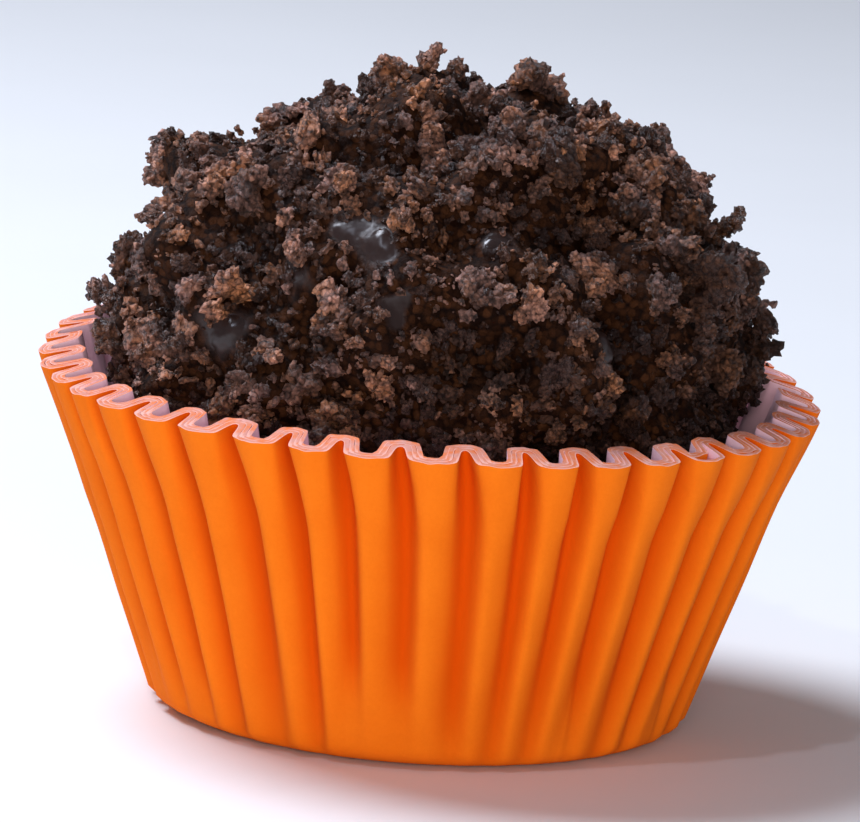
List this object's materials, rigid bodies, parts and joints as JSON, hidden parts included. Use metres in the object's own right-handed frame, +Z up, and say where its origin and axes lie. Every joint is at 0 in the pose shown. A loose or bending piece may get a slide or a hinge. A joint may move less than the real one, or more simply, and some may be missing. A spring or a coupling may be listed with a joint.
{
  "type": "brigadeiro",
  "caption": "Round chocolate truffle coated in coarse cookie crumbs, sitting in a nest of orange fluted paper cases.",
  "frame": {"origin": "on the ground, under the middle of the paper case's rim", "axes": "+Z up; -Y is the front, the side seen in the reference view; +X is to the right in that view"},
  "size_m": [0.04, 0.04, 0.0346],
  "materials": {
    "chocolate": "satin",
    "orange_paper": "matte"
  },
  "bodies": {
    "root": {"chocolate_ball": "chocolate", "paper_case_outer": "orange_paper", "paper_case_middle": "orange_paper", "paper_case_inner": "orange_paper"}
  },
  "joints": []
}
